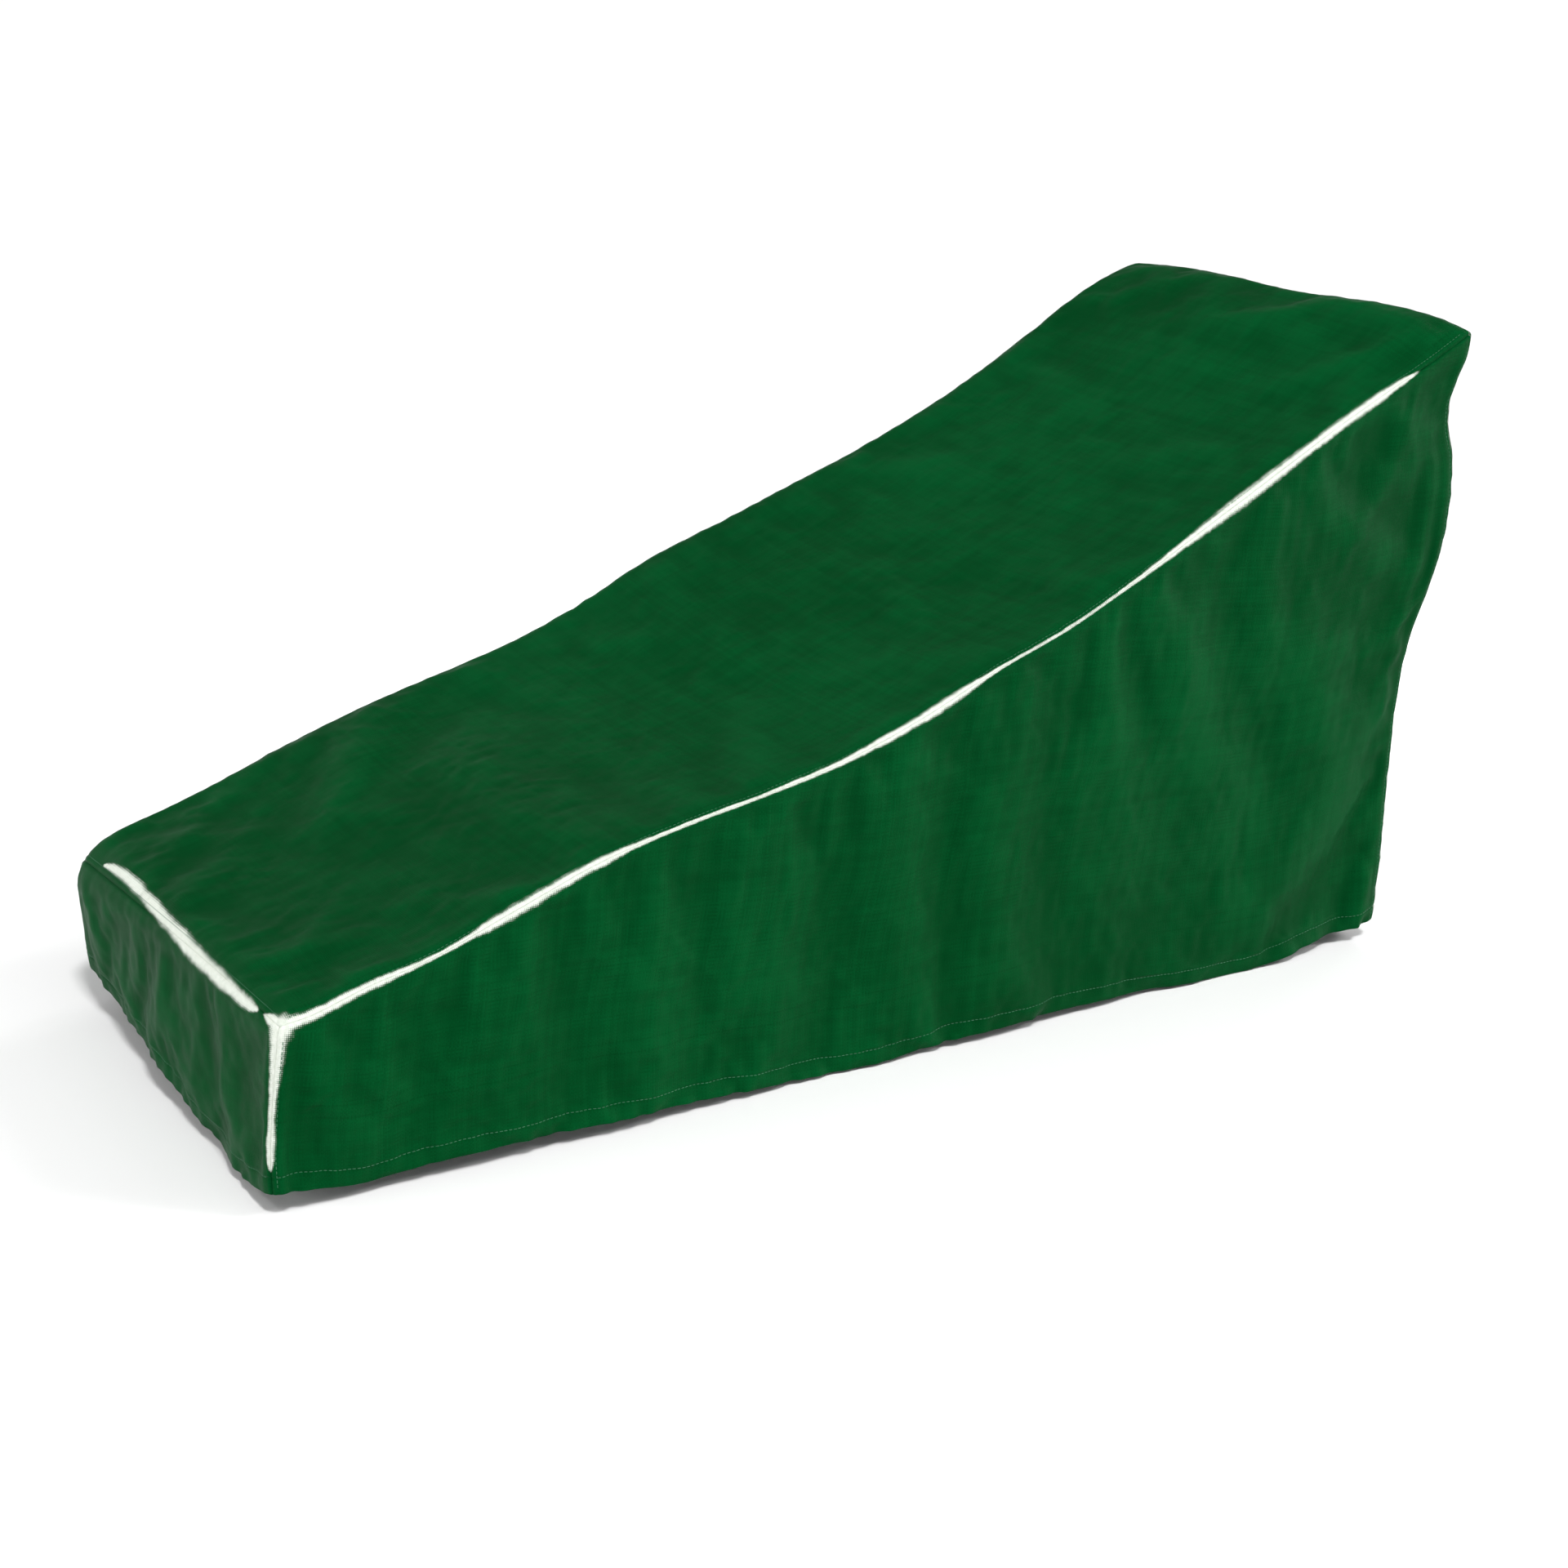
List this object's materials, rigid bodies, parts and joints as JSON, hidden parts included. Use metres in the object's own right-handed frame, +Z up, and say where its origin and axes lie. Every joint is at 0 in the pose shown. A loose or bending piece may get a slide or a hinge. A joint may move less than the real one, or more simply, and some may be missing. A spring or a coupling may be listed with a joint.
{
  "type": "lounge chair cover",
  "caption": "Fitted rain cover for a sun lounger: low foot end, long ramp up to a raised back end, flat sides, open at the hem, sewn of coated woven cloth.",
  "frame": {"origin": "inner face of the top panel at the top of the raised back end, midway across: where the cover bears on what holds it up", "axes": "+X from the foot end to the raised back end, -Y the near side with the highlighted ridge, +Z up"},
  "size_m": [1.8565, 0.7584, 0.9431],
  "materials": {
    "cover_cloth": "dark green coated woven tape cloth, satin, creases paler"
  },
  "bodies": {
    "root": {"top_panel": "cover_cloth", "side_panel_near": "cover_cloth", "side_panel_far": "cover_cloth", "foot_panel": "cover_cloth", "back_panel": "cover_cloth"}
  },
  "joints": []
}
